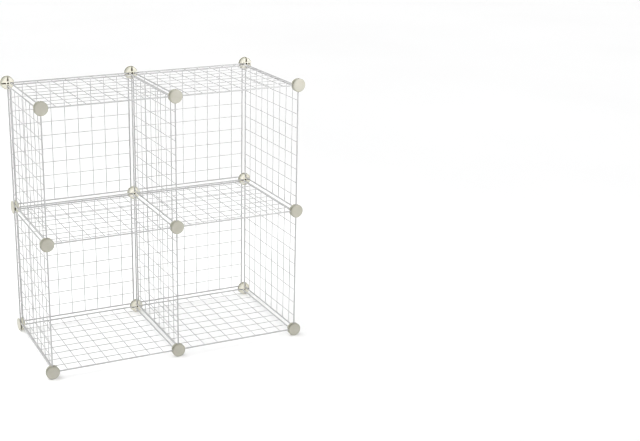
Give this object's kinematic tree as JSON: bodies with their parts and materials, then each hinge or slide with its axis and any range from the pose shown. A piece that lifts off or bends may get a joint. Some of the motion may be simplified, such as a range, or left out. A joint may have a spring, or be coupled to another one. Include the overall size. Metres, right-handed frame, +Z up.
{
  "type": "wire cube storage unit",
  "caption": "Free-standing open-fronted storage cubes made of welded white wire grid panels held at their corners by push-on round plastic connectors.",
  "frame": {"origin": "on the floor, at the middle of the unit's bounding box seen from above", "axes": "+Z up, the open front faces -Y, +X to the right of someone who looks into the cubes"},
  "size_m": [0.7732, 0.3858, 0.7732],
  "materials": {
    "coated_wire": "white plastic-coated steel wire, satin",
    "connector_plastic": "moulded ivory plastic, satin"
  },
  "bodies": {
    "root": {"side_panel_left_lower": "coated_wire", "side_panel_left_upper": "coated_wire", "divider_panel_lower": "coated_wire", "divider_panel_upper": "coated_wire", "side_panel_right_lower": "coated_wire", "side_panel_right_upper": "coated_wire", "floor_panel_left": "coated_wire", "floor_panel_right": "coated_wire", "shelf_panel_left": "coated_wire", "shelf_panel_right": "coated_wire", "top_panel_left": "coated_wire", "top_panel_right": "coated_wire", "back_panel_left_lower": "coated_wire", "back_panel_left_upper": "coated_wire", "back_panel_right_lower": "coated_wire", "back_panel_right_upper": "coated_wire", "connector_front_left_bottom": "connector_plastic", "connector_front_left_middle": "connector_plastic", "connector_front_left_top": "connector_plastic", "connector_front_centre_bottom": "connector_plastic", "connector_front_centre_middle": "connector_plastic", "connector_front_centre_top": "connector_plastic", "connector_front_right_bottom": "connector_plastic", "connector_front_right_middle": "connector_plastic", "connector_front_right_top": "connector_plastic", "connector_back_left_bottom": "connector_plastic", "connector_back_left_middle": "connector_plastic", "connector_back_left_top": "connector_plastic", "connector_back_centre_bottom": "connector_plastic", "connector_back_centre_middle": "connector_plastic", "connector_back_centre_top": "connector_plastic", "connector_back_right_bottom": "connector_plastic", "connector_back_right_middle": "connector_plastic", "connector_back_right_top": "connector_plastic"}
  },
  "joints": []
}
